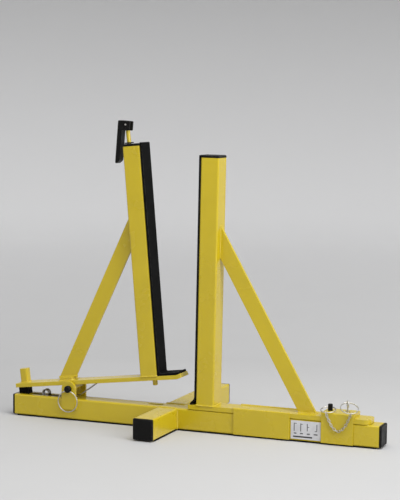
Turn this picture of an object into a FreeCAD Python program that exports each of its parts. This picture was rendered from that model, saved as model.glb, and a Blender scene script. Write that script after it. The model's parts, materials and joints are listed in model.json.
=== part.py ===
"""Self-clamping stand: a padded rocker tips under the load and closes on a padded sliding jaw.

Millimetres, +Z up, +X along the main rail towards the sliding jaw, -Y towards the front.
The origin is on the floor under the crossing of the main rail and the cross arms.
The rocker's pieces are drawn about its pivot with the plate level, then set at the open angle.
"""
import FreeCAD, Part
import math
import os
import re
import Sketcher

V = FreeCAD.Vector
doc = FreeCAD.newDocument("clamping_stand")

DIMENSIONS = {
    # main rail and cross arms
    "rail_side": 50, "tube_wall": 3, "tube_corner": 4, "rail_left": 412.5, "rail_right": 519,
    "arm_front": 167, "arm_rear": 321, "cap_flange": 6, "cap_spigot": 18, "cap_wall": 3,
    "cap_play": 0.1, "cap_edge": 2, "strip_thick": 3, "strip_width": 49, "strip_inset": 7,
    # pivot
    "pivot_x": -261, "pivot_rise": 25, "ear_width": 38, "ear_thick": 6, "ear_overlap": 26,
    "pin_radius": 6, "pin_play": 0.06, "pin_tip": 8, "pin_head_radius": 8.5, "pin_head_long": 9,
    "ring_wire": 1.3, "ring_radius": 25.5, "ring_drop": 4.5, "ring_hole": 2.8,
    # rocker
    "open_angle": 7.1, "rocker_width": 48, "plate_thick": 10, "plate_drop": 9.2,
    "plate_left": 148.5, "lip_start": 285, "lip_long": 11, "lip_angle": 16, "lip_bend": 12,
    "boss_width": 30, "boss_reach": 9, "bush_radius": 7.5, "bush_long": 14,
    "mast_left": 191.6, "mast_side": 45, "mast_lean": 2, "mast_long": 552, "rocker_pad": 6,
    "pad_inset": 2,
    "rod_inset": 8.3355, "rod_radius": 5, "rod_play": 0.08, "rod_head": 51.8, "rod_end": 6,
    "tip_radius": 6, "tip_long": 40, "tip_out": 14.6, "guide_radius": 11, "guide_rise": 2.5,
    "guide_clear": 2,
    "brace_width": 38, "brace_thick": 8, "brace_foot": 11.8, "brace_high": 347,
    "tab_side": 34, "tab_thick": 8, "pedal_side": 20, "pedal_tall": 34, "pedal_left": 141.3,
    "bumper_left": 148, "bumper_long": 26, "bumper_deep": 20, "bumper_gap": 0.3,
    "screw_radius": 3, "screw_head": 6, "screw_head_tall": 3,
    # lever on the lock rod
    "lever_angle": 11.4, "lever_back": 19.6, "lever_nose": 11, "lever_top": 8.5,
    "lever_chin": 14, "lever_deep": 22, "handle_thick": 11, "handle_long": 98,
    "lever_play": 0.5, "lever_pin": 2.5,
    # return spring
    "spring_wire": 1.6, "spring_coil": 8, "spring_turns": 4, "spring_pitch": 3.6,
    "spring_place": 337, "spring_sink": 3, "spring_lift": 195, "spring_touch": 0.4,
    "spring_bend": 240, "spring_low": 9, "spring_hook": 4,
    # openings in the top of the rail
    "rod_slot_long": 40, "rod_slot_wide": 14, "spring_slot_long": 90, "spring_slot_wide": 20,
    # how far every cutting tool runs past the face it cuts
    "cut_past": 1,
    # sliding jaw
    "slide_gap": 0.8, "foot_left": 52, "foot_right": 497, "foot_thick": 11, "foot_corner": 14,
    "jaw_left": 72.1, "jaw_deep": 52, "jaw_lean": 0.75, "jaw_tall": 585, "jaw_pad": 4.5,
    "toe_long": 15, "toe_high": 13, "toe_slope": 45, "toe_lift": 0.2, "jaw_brace_foot": 342,
    "jaw_brace_high": 388,
    "cheek_thick": 3, "cheek_left": 168.5, "cheek_right": 306.6, "cheek_floor": 4,
    "saddle_left": 383, "saddle_right": 459, "saddle_thick": 9.8,
    "label_left": 309.5, "label_right": 381.5, "label_low": 7, "label_high": 50,
    "label_thick": 0.4,
    # lock pin, its ring and the chain
    "lock_place": 396, "lock_radius": 5, "lock_play": 0.1, "lock_reach": 10,
    "lock_head_radius": 5.6, "lock_head_tall": 16, "lock_slack_left": 10,
    "lock_slack_right": 40, "chain_clear": 7.33, "lock_ring_wire": 1.1,
    "lock_ring_rise": 9, "lock_ring_tilt": 13, "lock_ring_hole": 2.5,
    "eye_place": 437.5, "eye_radius": 6.6, "eye_wire": 1.8, "eye_rise": 18.5,
    "eye_collar": 4.5, "eye_collar_tall": 3, "eye_floor": 1,
    "split_wire": 1.1, "split_place": 455, "split_rise": 3.3,
    "chain_wire": 0.8, "chain_inner": 6.6, "chain_slot": 3.1, "chain_links": 19,
    "chain_sag": 43, "chain_lap": 0.9, "chain_shift": 0.5,
    "chain_rise": 1.5,
}

sheet = doc.addObject("Spreadsheet::Sheet", "dims")
for row, (word, number) in enumerate(DIMENSIONS.items(), start=1):
    sheet.set(f"A{row}", word)
    sheet.set(f"B{row}", str(number))
    sheet.setAlias(f"B{row}", word)
doc.recompute()


def words(text):
    """Give every driving dimension named in the text the sheet's prefix."""
    return re.sub(r"[a-z]+_[a-z_]+", lambda found: "dims." + found[0], text)


def value(text):
    """The number that an expression in the sheet's words has now."""
    return float(sheet.evalExpression(words(text)))


# Heights and planes that follow from the driving dimensions.
RAIL_TOP = "(strip_thick + rail_side)"
HALF = "(rail_side / 2)"
PIVOT_Z = f"({RAIL_TOP} + pivot_rise)"
PLATE_TOP = "(plate_drop + plate_thick)"
MAST_RIGHT = "(mast_left + mast_side / cos(mast_lean * 1deg))"
MAST_TOP = f"({PLATE_TOP} + (mast_long + cap_flange) * cos(mast_lean * 1deg))"
ROD_PLACE = "(mast_left + mast_long * sin(mast_lean * 1deg) + rod_inset)"
ROD_RAISE = f"({PLATE_TOP} + mast_long + rod_head)"
FOOT_LOW = f"({RAIL_TOP} + slide_gap)"
FOOT_TOP = f"({FOOT_LOW} + foot_thick)"
SIDE = f"({HALF} + slide_gap)"
SADDLE_TOP = f"({FOOT_TOP} + saddle_thick)"
EAR_FACE = f"({HALF} + ear_thick)"
RING_Y = f"(-{EAR_FACE} - pin_head_long / 2)"
LOCK_RING_Z = f"({SADDLE_TOP} + lock_ring_rise)"
EYE_Z = f"({SADDLE_TOP} + eye_rise)"
CHAIN_Y = f"(-{SIDE} - chain_clear)"
LOCK_RING = f"(({SIDE} + chain_clear) / (2 * cos(lock_ring_tilt * 1deg)))"

# Poses: the rocker about its pivot, the masts on their plates and the lever on the rod's head.
ROCKER = f"placement(vector(pivot_x; 0; {PIVOT_Z}); rotation(vector(0; 1; 0); -open_angle))"
MAST = f"placement(vector(mast_left; 0; {PLATE_TOP}); rotation(vector(0; 1; 0); mast_lean))"
LEVER = f"placement(vector({ROD_PLACE}; 0; {ROD_RAISE}); rotation(vector(0; 1; 0); lever_angle))"
JAW = f"placement(vector(jaw_left; 0; {FOOT_TOP}); rotation(vector(0; 1; 0); jaw_lean))"

parts = []


def part(shape_object, name, pose=None):
    """Name a finished sub-part and set its pose."""
    shape_object.Label = name
    if pose:
        shape_object.setExpression("Placement", words(pose))
    parts.append(shape_object)
    return shape_object


def bind(item, **expressions):
    for name, text in expressions.items():
        item.setExpression(name, words(text))
    return item


def at(item, x="0", y="0", z="0"):
    """Place an object's own origin."""
    for axis, text in zip("xyz", (x, y, z)):
        item.setExpression(f".Placement.Base.{axis}", words(text))
    return item


def turned(item, axis, angle="90"):
    """Turn an object about its own origin."""
    item.setExpression(".Placement.Rotation.Angle", words(f"({angle}) * 1deg"))
    item.Placement = FreeCAD.Placement(item.Placement.Base, FreeCAD.Rotation(axis, value(angle)))
    return item


def block(x, y, z):
    """A box between three pairs of planes, each pair a low and a high expression."""
    item = doc.addObject("Part::Box", "block")
    bind(item, Length=f"{x[1]} - ({x[0]})", Width=f"{y[1]} - ({y[0]})", Height=f"{z[1]} - ({z[0]})")
    return at(item, x[0], y[0], z[0])


def rod(radius, length, x="0", y="0", z="0", axis="z"):
    """A round bar that starts at a point and runs along an axis."""
    item = doc.addObject("Part::Cylinder", "rod")
    bind(item, Radius=radius, Height=length)
    turn = {"x": (V(0, 1, 0), "90"), "y": (V(1, 0, 0), "-90"), "z": (V(0, 0, 1), "0")}[axis]
    turned(item, *turn)
    return at(item, x, y, z)


def torus(radius, wire, x="0", y="0", z="0", turn=None):
    item = doc.addObject("Part::Torus", "torus")
    bind(item, Radius1=radius, Radius2=wire)
    if turn:
        turned(item, *turn)
    return at(item, x, y, z)


def cut(base, *tools):
    for tool in tools:
        item = doc.addObject("Part::Cut", "cut")
        item.Base = base
        item.Tool = tool
        base = item
    return base


def fuse(*items):
    item = doc.addObject("Part::MultiFuse", "fuse")
    item.Shapes = list(items)
    return item


def along(axis):
    """Pick straight edges that run along an axis."""
    def picked(edge):
        if edge.Curve.TypeId != "Part::GeomLine":
            return False
        return abs(abs(edge.Curve.Direction.dot(axis)) - 1) < 1e-6
    return picked


def level_ring(place, axis):
    """Pick the edges that lie wholly at one place along an axis."""
    letter = axis.upper()
    height = value(place)

    def picked(edge):
        box = edge.BoundBox
        return max(abs(getattr(box, letter + end) - height) for end in ("Min", "Max")) < 1e-3
    return picked


def rounded(base, radius, pick, chamfer=False):
    """Round or bevel the edges that the pick function accepts."""
    doc.recompute()
    item = doc.addObject("Part::Chamfer" if chamfer else "Part::Fillet", "rounded")
    item.Base = base
    size = value(radius)
    chosen = [i for i, edge in enumerate(base.Shape.Edges, start=1) if pick(edge)]
    item.Edges = [(i, size, size) for i in chosen]
    return item


def outline(points, thickness, name, roundings=()):
    """A plate cut to an outline in the XZ plane, centred on Y = 0, with corners rounded by place."""
    body = doc.addObject("PartDesign::Body", name + "_body")
    sketch = body.newObject("Sketcher::SketchObject", name + "_sketch")
    plane = next(f for f in body.Origin.OriginFeatures if f.Role == "XZ_Plane")
    sketch.AttachmentSupport = [(plane, "")]
    sketch.MapMode = "FlatFace"
    places = [V(value(x), value(z), 0) for x, z in points]
    count = len(places)
    for i, start in enumerate(places):
        sketch.addGeometry(Part.LineSegment(start, places[(i + 1) % count]), False)
    for i in range(count):
        sketch.addConstraint(Sketcher.Constraint("Coincident", i, 2, (i + 1) % count, 1))
    for i, texts in enumerate(points):
        for kind, text, number in zip(("DistanceX", "DistanceY"), texts, places[i]):
            index = sketch.addConstraint(Sketcher.Constraint(kind, -1, 1, i, 1, number))
            sketch.setExpression(f"Constraints[{index}]", words(text))
    pad = body.newObject("PartDesign::Pad", name + "_pad")
    pad.Profile = sketch
    pad.Midplane = True
    bind(pad, Length=thickness)
    doc.recompute()
    sketch.Visibility = False
    for corner, radius in roundings:
        place = V(value(points[corner][0]), 0, value(points[corner][1]))
        base = body.Tip
        feature = body.newObject("PartDesign::Fillet", name + "_fillet")
        feature.Base = (base, [edge_name(base.Shape, place)])
        bind(feature, Radius=radius)
        doc.recompute()
    return body


def edge_name(shape, place):
    """The edge along Y that passes through a place in the XZ plane."""
    for number, edge in enumerate(shape.Edges, start=1):
        if not along(V(0, 1, 0))(edge):
            continue
        spot = edge.Vertexes[0].Point
        if math.hypot(spot.x - place.x, spot.z - place.z) < 1e-3:
            return f"Edge{number}"
    raise RuntimeError(f"no edge along Y at {place}")


def tube(x, y, z, axis):
    """A square tube with rounded outer edges, open at both ends, and its length along an axis."""
    wall = "tube_wall"
    direction = {"x": V(1, 0, 0), "y": V(0, 1, 0), "z": V(0, 0, 1)}[axis]
    outer = rounded(block(x, y, z), "tube_corner", along(direction))
    spans = {"x": x, "y": y, "z": z}
    inner = {
        name: span if name == axis else (f"{span[0]} + {wall}", f"{span[1]} - {wall}")
        for name, span in spans.items()
    }
    return cut(outer, block(inner["x"], inner["y"], inner["z"]))


def end_cap(across, tall, pose=None):
    """A push-in cap whose flange lies on Z = 0, with a hollow spigot below it."""
    wide = f"({across}) / 2"
    deep = f"({tall}) / 2"
    flange = block((f"-{wide}", wide), (f"-{deep}", deep), ("0", "cap_flange"))
    flange = rounded(flange, "cap_edge", lambda edge: edge.BoundBox.ZMax > 1e-3, chamfer=True)
    inset = "tube_wall + cap_play"
    spigot = block(
        (f"-{wide} + {inset}", f"{wide} - ({inset})"), (f"-{deep} + {inset}", f"{deep} - ({inset})"),
        ("-cap_spigot", "0"),
    )
    core = "tube_wall + cap_play + cap_wall"
    hollow = block(
        (f"-{wide} + {core}", f"{wide} - ({core})"), (f"-{deep} + {core}", f"{deep} - ({core})"),
        ("-cap_spigot - cut_past", "-cap_wall"),
    )
    return cut(fuse(flange, spigot), hollow)


def slot(length, width, x, low, high):
    """A round-ended slot along X that runs between two heights."""
    straight = block(
        (f"{x} - ({length}) / 2 + ({width}) / 2", f"{x} + ({length}) / 2 - ({width}) / 2"),
        (f"-({width}) / 2", f"({width}) / 2"), (low, high),
    )
    ends = [
        rod(f"({width}) / 2", f"{high} - ({low})", f"{x} {sign} (({length}) / 2 - ({width}) / 2)",
            "0", low)
        for sign in "+-"
    ]
    return fuse(straight, *ends)


def main_rail():
    rail = tube(("-rail_left", "rail_right"), (f"-{HALF}", HALF), ("strip_thick", RAIL_TOP), "x")
    low = f"{RAIL_TOP} - tube_wall - cut_past"
    high = f"{RAIL_TOP} + cut_past"
    pin_slot_long = "(lock_slack_left + lock_slack_right + 2 * lock_radius + 2 * lock_play)"
    pin_slot_x = "(lock_place + (lock_slack_right - lock_slack_left) / 2)"
    part(cut(
        rail,
        slot("rod_slot_long", "rod_slot_wide", f"(pivot_x + {ROD_PLACE})", low, high),
        slot("spring_slot_long", "spring_slot_wide", "(-spring_place)", low, high),
        slot(pin_slot_long, "2 * lock_radius + 2 * lock_play", pin_slot_x, low, high),
    ), "main_rail")


def cross_arms():
    tall = ("strip_thick", RAIL_TOP)
    part(tube((f"-{HALF}", HALF), ("-arm_front", f"-{HALF}"), tall, "y"), "cross_arm_front")
    part(tube((f"-{HALF}", HALF), (HALF, "arm_rear"), tall, "y"), "cross_arm_rear")


def base_caps():
    middle = f"(strip_thick + {HALF})"
    ends = {
        "rail_cap_left": ("-rail_left", "0", "vector(0; 1; 0); -90"),
        "rail_cap_right": ("rail_right", "0", "vector(0; 1; 0); 90"),
        "arm_cap_front": ("0", "-arm_front", "vector(1; 0; 0); 90"),
        "arm_cap_rear": ("0", "arm_rear", "vector(1; 0; 0); -90"),
    }
    for name, (x, y, turn) in ends.items():
        pose = f"placement(vector({x}; {y}; {middle}); rotation({turn}))"
        part(end_cap("rail_side", "rail_side"), name, pose)


def grip_strips():
    wide = ("-strip_width / 2", "strip_width / 2")
    tall = ("0", "strip_thick")
    along_rail = ("-rail_left + strip_inset", "rail_right - strip_inset")
    part(block(along_rail, wide, tall), "rail_grip_strip")
    front = ("-arm_front + strip_inset", f"-{HALF}")
    rear = (HALF, "arm_rear - strip_inset")
    part(block(wide, front, tall), "arm_grip_strip_front")
    part(block(wide, rear, tall), "arm_grip_strip_rear")


def pivot_ears():
    """Two round-topped lugs on the rail's sides that carry the pivot pin."""
    low = f"{RAIL_TOP} - ear_overlap"
    for name, start in (("pivot_ear_front", f"-{EAR_FACE}"), ("pivot_ear_rear", HALF)):
        span = (start, f"{start} + ear_thick")
        lug = fuse(
            block(("pivot_x - ear_width / 2", "pivot_x + ear_width / 2"), span, (low, PIVOT_Z)),
            rod("ear_width / 2", "ear_thick", "pivot_x", start, PIVOT_Z, "y"),
        )
        bore = rod("pin_radius + pin_play", "ear_thick + 2 * cut_past", "pivot_x",
                   f"{start} - cut_past", PIVOT_Z, "y")
        part(cut(lug, bore), name)


def bent_wire(points, bend, radius):
    """A round wire along straight runs, with an arc of one bend radius at each corner."""
    edges = []
    start = points[0]
    for before, corner, after in zip(points, points[1:], points[2:]):
        inward = (corner - before).normalize()
        outward = (after - corner).normalize()
        half = inward.getAngle(outward) / 2
        first = corner - inward * (bend * math.tan(half))
        last = corner + outward * (bend * math.tan(half))
        middle = corner + (outward - inward).normalize() * (bend / math.cos(half) - bend)
        edges.append(Part.LineSegment(start, first).toShape())
        edges.append(Part.Arc(first, middle, last).toShape())
        start = last
    edges.append(Part.LineSegment(start, points[-1]).toShape())
    section = Part.Wire(Part.makeCircle(radius, points[0], points[1] - points[0]))
    return Part.Wire(edges).makePipeShell([section], True, True)


def return_spring():
    """A torsion spring: a coil in the rail's slot, an anchor leg and a long leg under the plate."""
    wire = value("spring_wire")
    coil = value("spring_coil")
    width = value("spring_turns * spring_pitch")
    low = value(f"{RAIL_TOP} - spring_sink")
    place = -value("spring_place")
    helix = Part.makeHelix(value("spring_pitch"), width, coil)
    helix.Placement = FreeCAD.Placement(
        V(place, -width / 2, low + coil), FreeCAD.Rotation(V(0, 0, -1), V(-1, 0, 0), V(0, 1, 0))
    )
    circle = Part.Wire(Part.makeCircle(wire, V(place, -width / 2, low), V(1, 0, 0)))
    coils = Part.Wire(helix.Edges).makePipeShell([circle], True, True)

    tilt = math.radians(value("open_angle"))
    under = value("plate_drop - spring_wire - spring_touch")
    reach = (-value("spring_lift") - value("pivot_x") + under * math.sin(tilt)) / math.cos(tilt)
    lift = value(PIVOT_Z) + reach * math.sin(tilt) + under * math.cos(tilt)
    long_leg = [
        V(place, -width / 2, low),
        V(-value("spring_bend"), -width / 2, value(f"{RAIL_TOP} + spring_low")),
        V(-value("spring_lift"), -width / 2, lift),
    ]
    hook = value(f"{RAIL_TOP} - tube_wall - spring_hook")
    short_leg = [
        V(place, width / 2, low),
        V(place - value("spring_slot_long") / 4, width / 2, hook),
        V(place - value("spring_slot_long") / 2 - value("spring_hook"), width / 2, hook),
    ]
    legs = [bent_wire(leg, coil / 2, wire) for leg in (long_leg, short_leg)]
    item = doc.addObject("Part::Feature", "return_spring")
    item.Shape = Part.makeCompound([coils] + legs)
    part(item, "return_spring")


def label():
    face = (f"-{HALF} - label_thick", f"-{HALF}")
    plate = block(("label_left", "label_right"), face, ("label_low", "label_high"))
    part(plate, "label_plate")


def rocker_plate():
    """The flat bar that tips on the pivot, with its end bent up into a lip."""
    lip_x = "(lip_start + lip_long * cos(lip_angle * 1deg))"
    lip_z = f"({PLATE_TOP} + lip_long * sin(lip_angle * 1deg))"
    back = "(plate_thick * tan(lip_angle / 2 * 1deg))"
    points = [
        ("-plate_left", "plate_drop"),
        (f"lip_start + {back}", "plate_drop"),
        (f"{lip_x} + plate_thick * sin(lip_angle * 1deg)",
         f"{lip_z} - plate_thick * cos(lip_angle * 1deg)"),
        (lip_x, lip_z),
        ("lip_start", PLATE_TOP),
        ("-plate_left", PLATE_TOP),
    ]
    roundings = [(1, "lip_bend + plate_thick"), (4, "lip_bend")]
    body = outline(points, "rocker_width", "rocker_plate", roundings)
    hole = rod("tip_radius + rod_play", "plate_thick + 2 * cut_past", ROD_PLACE, "0",
               "plate_drop - cut_past")
    part(cut(body, hole), "rocker_plate", ROCKER)


def pivot_boss():
    """The block under the plate that turns on the pivot pin, with a plain bush at each end."""
    half = "rocker_width / 2"
    boss = fuse(
        block(("-boss_width / 2", "boss_width / 2"), (f"-{half}", half), ("0", "plate_drop")),
        rod("boss_reach", "rocker_width", "0", f"-{half}", "0", "y"),
    )
    bore = rod("bush_radius", "rocker_width + 2 * cut_past", "0", f"-{half} - cut_past", "0", "y")
    part(cut(boss, bore), "pivot_boss", ROCKER)
    rings = []
    for start in (f"-{half}", f"{half} - bush_long"):
        ring = rod("bush_radius", "bush_long", "0", start, "0", "y")
        hole = rod("pin_radius + pin_play", "bush_long + 2 * cut_past", "0",
                   f"{start} - cut_past", "0", "y")
        rings.append(cut(ring, hole))
    part(fuse(*rings), "pivot_bushes", ROCKER)


def rocker_mast():
    """The leaning square tube, its cap and the two bushes that guide the lock rod."""
    half = "rocker_width / 2"
    tall = ("-mast_side", "mast_long")
    mast = tube(("0", "mast_side"), (f"-{half}", half), tall, "z")
    mast.setExpression("Placement", words(MAST))
    span = (f"{PLATE_TOP} - 2 * mast_side", PLATE_TOP)
    level = block(("0", "lip_start"), ("-rail_side", "rail_side"), span)
    part(cut(mast, level), "rocker_mast", ROCKER)

    cap = end_cap("mast_side", "rocker_width")
    cap.setExpression("Placement", words(
        f"{MAST} * placement(vector(mast_side / 2; 0; mast_long); rotation(vector(0; 0; 1); 0))"))
    hole = rod("rod_radius + guide_clear", "4 * cap_spigot", ROD_PLACE, "0",
               f"{MAST_TOP} - 3 * cap_spigot")
    part(cut(cap, hole), "rocker_cap", ROCKER)

    base = f"({MAST_TOP} + mast_side / 2 * sin(mast_lean * 1deg))"
    collar = rod("guide_radius", "guide_rise", ROD_PLACE, "0", base)
    bore = rod("rod_radius + rod_play", "guide_rise + 2 * cut_past", ROD_PLACE, "0",
               f"{base} - cut_past")
    part(cut(collar, bore), "rod_guide_top", ROCKER)


def brace_bar(name, foot, low, face, high, lean, pose=None):
    """A flat bar that rises from a level foot to a leaning face and is cut to meet both.

    face is where the face stands at the foot's height, and high is how far above the foot the
    bar's centre line meets it.
    """
    slope = f"((({face}) + ({high}) * tan({lean}) - ({foot})) / ({high}))"
    half = f"(brace_width / 2 * sqrt(1 + {slope} * {slope}))"
    lower = [(f"{foot} {sign} {half}", low) for sign in "-+"]
    upper = []
    for sign in "+-":
        edge = f"({foot} {sign} {half})"
        rise = f"((({face}) - {edge}) / ({slope} - tan({lean})))"
        upper.append((f"{edge} + {rise} * {slope}", f"{low} + {rise}"))
    part(outline(lower + upper, "brace_thick", name), name, pose)


def rocker_brace():
    side = "tab_side / 2"
    foot = "(-brace_foot)"
    top = f"({PLATE_TOP} + tab_thick)"
    tab = block((f"{foot} - {side}", f"{foot} + {side}"), (f"-{side}", side), (PLATE_TOP, top))
    part(rounded(tab, "cap_edge", along(V(0, 0, 1))), "brace_tab", ROCKER)
    face = "(mast_left + tab_thick * tan(mast_lean * 1deg))"
    brace_bar("rocker_brace", foot, top, face, "brace_high", "(mast_lean * 1deg)", ROCKER)


def pedal():
    half = "pedal_side / 2"
    left = "(-pedal_left)"
    stub = tube((left, f"{left} + pedal_side"), (f"-{half}", half),
                (PLATE_TOP, f"{PLATE_TOP} + pedal_tall"), "z")
    part(stub, "pedal_stub", ROCKER)
    lid = block(
        (f"{left} + tube_wall", f"{left} + pedal_side - tube_wall"),
        (f"-{half} + tube_wall", f"{half} - tube_wall"),
        (f"{PLATE_TOP} + pedal_tall - tube_wall", f"{PLATE_TOP} + pedal_tall"),
    )
    part(rounded(lid, "pin_play", along(V(0, 0, 1)), chamfer=True), "pedal_lid", ROCKER)


def bumper():
    """A rubber block under the plate's end; its lower face lies level on the rail when open."""
    near = "(-bumper_left)"
    far = "(bumper_long - bumper_left)"
    gap = "(bumper_gap - pivot_rise)"
    points = [(near, "plate_drop"), (far, "plate_drop")]
    for x in (far, near):
        points.append((x, f"({gap} - {x} * sin(open_angle * 1deg)) / cos(open_angle * 1deg)"))
    body = outline(points, "bumper_deep", "bumper")
    middle = "(bumper_long / 2 - bumper_left)"
    seat = rod("screw_head", "pivot_rise", middle, "0", "plate_drop - screw_head_tall - pivot_rise")
    shank = rod("screw_radius", "2 * pivot_rise", middle, "0", "-pivot_rise")
    part(cut(body, seat, shank), "bumper", ROCKER)
    head = rod("screw_head - screw_radius / 4", "screw_head_tall", middle, "0",
               "plate_drop - screw_head_tall - screw_head_tall")
    part(fuse(head, rod("screw_radius - pin_play", "2 * screw_head_tall", middle, "0",
                        "plate_drop - 2 * screw_head_tall")), "bumper_screw", ROCKER)


def rocker_pad():
    """The rubber facing: up the mast's face and along the plate to the tip of the lip."""
    thick = "rocker_pad"
    top = "(mast_long + cap_flange)"
    foot = MAST_RIGHT
    lean = "(mast_lean * 1deg)"
    tip_x = "(lip_start + (lip_long - pad_inset) * cos(lip_angle * 1deg))"
    tip_z = f"({PLATE_TOP} + (lip_long - pad_inset) * sin(lip_angle * 1deg))"
    crease = f"({thick} * tan(lip_angle / 2 * 1deg))"
    points = [
        (foot, PLATE_TOP),
        ("lip_start", PLATE_TOP),
        (tip_x, tip_z),
        (f"{tip_x} - {thick} * sin(lip_angle * 1deg)",
         f"{tip_z} + {thick} * cos(lip_angle * 1deg)"),
        (f"lip_start - {crease}", f"{PLATE_TOP} + {thick}"),
        (f"{foot} + {thick} * (1 + sin{lean}) / cos{lean}", f"{PLATE_TOP} + {thick}"),
        (f"{foot} + {top} * sin{lean} + {thick} * cos{lean}",
         f"{PLATE_TOP} + {top} * cos{lean} - {thick} * sin{lean}"),
        (f"{foot} + {top} * sin{lean}", f"{PLATE_TOP} + {top} * cos{lean}"),
    ]
    roundings = [(5, "rocker_pad / 2"), (6, "rocker_pad / 2"), (3, "rocker_pad / 3"),
                 (1, "lip_bend"), (4, "lip_bend - rocker_pad")]
    part(outline(points, "rocker_width", "rocker_pad", roundings), "rocker_pad", ROCKER)


def lock_rod():
    """The rod inside the mast, its steel tip and the cross pin of its lever."""
    low = f"({PLATE_TOP} + tip_long - tip_out)"
    bar = rod("rod_radius", f"{ROD_RAISE} + rod_end - {low}", ROD_PLACE, "0", low)
    hole = rod("lever_pin", "4 * rod_radius", ROD_PLACE, "-2 * rod_radius", ROD_RAISE, "y")
    part(cut(bar, hole), "lock_rod", ROCKER)
    tip = rod("tip_radius", "tip_long", ROD_PLACE, "0", "plate_drop - tip_out")
    end = level_ring("plate_drop - tip_out", "z")
    part(rounded(tip, "tip_radius / 4", end, chamfer=True), "rod_tip", ROCKER)
    start = "-lever_deep / 2"
    pin = rod("lever_pin", "lever_deep", ROD_PLACE, start, ROD_RAISE, "y")
    part(rounded(pin, "lever_pin / 5", level_ring(start, "y"), chamfer=True), "lever_pin", ROCKER)


def lock_lever():
    """The black lever: a forked head on the rod and a flat handle that hangs beside the mast."""
    points = [
        ("lever_nose", "-lever_chin"),
        ("lever_nose", "lever_top"),
        ("-lever_back", "lever_top"),
        ("-lever_back", "-handle_long"),
        ("handle_thick - lever_back", "-handle_long + handle_thick"),
        ("handle_thick - lever_back", "-lever_chin"),
    ]
    roundings = [(0, "lever_pin"), (1, "lever_pin"), (2, "lever_pin"), (3, "handle_thick / 4"),
                 (4, "handle_thick / 2"), (5, "lever_pin")]
    body = outline(points, "lever_deep", "lock_lever", roundings)
    gap = "(rod_radius + lever_play)"
    fork = block(("handle_thick - lever_back", "lever_nose + cut_past"), (f"-{gap}", gap),
                 ("-lever_chin - cut_past", "lever_top + cut_past"))
    bore = rod("lever_pin + pin_play", "lever_deep + 2 * cut_past", "0",
               "-lever_deep / 2 - cut_past", "0", "y")
    part(cut(body, fork, bore), "lock_lever", f"{ROCKER} * {LEVER}")


def pivot_pin():
    """The quick-release pin through both ears and the boss, with its head and pull ring."""
    reach = f"2 * {EAR_FACE} + pin_tip"
    shank = rod("pin_radius", reach, "pivot_x", f"-{EAR_FACE}", PIVOT_Z, "y")
    end = level_ring(f"{EAR_FACE} + pin_tip", "y")
    part(rounded(shank, "pin_radius / 3", end, chamfer=True), "pivot_pin")
    start = f"-{EAR_FACE} - pin_head_long"
    head = rod("pin_head_radius", "pin_head_long - pin_play", "pivot_x", start, PIVOT_Z, "y")
    head = rounded(head, "cap_edge", level_ring(start, "y"), chamfer=True)
    hole = rod("ring_hole", "3 * pin_head_radius", "pivot_x - 1.5 * pin_head_radius", RING_Y,
               f"{PIVOT_Z} - ring_drop", "x")
    part(cut(head, hole), "pivot_pin_head")
    centre = f"{PIVOT_Z} - ring_drop - ring_radius"
    ring = torus("ring_radius", "ring_wire", "pivot_x", RING_Y, centre, (V(1, 0, 0), "90"))
    part(ring, "pivot_pin_ring")


def jaw_foot():
    """The sliding foot: a flat bar on the rail between side cheeks and a saddle."""
    span = (f"-{SIDE}", SIDE)
    plate = block(("foot_left", "foot_right"), span, (FOOT_LOW, FOOT_TOP))
    end = level_ring("foot_right", "x")
    upright = along(V(0, 0, 1))
    plate = rounded(plate, "foot_corner", lambda edge: end(edge) and upright(edge))
    bore = rod("lock_radius + lock_play", "foot_thick + 2 * cut_past", "lock_place", "0",
               f"{FOOT_LOW} - cut_past")
    part(cut(plate, bore), "jaw_foot_plate")
    tall = ("cheek_floor", FOOT_TOP)
    for name, low in (("front", f"-{SIDE} - cheek_thick"), ("rear", SIDE)):
        face = (low, f"{low} + cheek_thick")
        part(block(("cheek_left", "cheek_right"), face, tall), f"slide_cheek_{name}")
    wide = f"({SIDE} + cheek_thick)"
    outer = block(("saddle_left", "saddle_right"), (f"-{wide}", wide), ("cheek_floor", SADDLE_TOP))
    top = level_ring(SADDLE_TOP, "z")
    lengthwise = along(V(1, 0, 0))
    outer = rounded(outer, "cheek_thick", lambda edge: top(edge) and lengthwise(edge))
    inner = block(("saddle_left - cut_past", "saddle_right + cut_past"), span, ("0", FOOT_TOP))
    hole = rod("lock_radius + lock_play", "saddle_thick + 2 * cut_past", "lock_place", "0",
               f"{FOOT_TOP} - cut_past")
    seat = rod("eye_wire", "saddle_thick", "eye_place", "0", f"{SADDLE_TOP} - saddle_thick + eye_floor")
    part(cut(outer, inner, hole, seat), "lock_saddle")


def jaw_mast():
    half = "jaw_deep / 2"
    mast = tube(("0", "mast_side"), (f"-{half}", half), ("-mast_side", "jaw_tall"), "z")
    mast.setExpression("Placement", words(JAW))
    span = (f"{FOOT_TOP} - 2 * mast_side", FOOT_TOP)
    level = block(("0", "foot_right"), ("-rail_side", "rail_side"), span)
    part(cut(mast, level), "jaw_mast")
    place = "placement(vector(mast_side / 2; 0; jaw_tall); rotation(vector(0; 0; 1); 0))"
    part(end_cap("mast_side", "jaw_deep"), "jaw_cap", f"{JAW} * {place}")
    face = "(jaw_left + mast_side / cos(jaw_lean * 1deg))"
    brace_bar("jaw_brace", "jaw_brace_foot", FOOT_TOP, face, "jaw_brace_high", "(jaw_lean * 1deg)")


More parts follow.
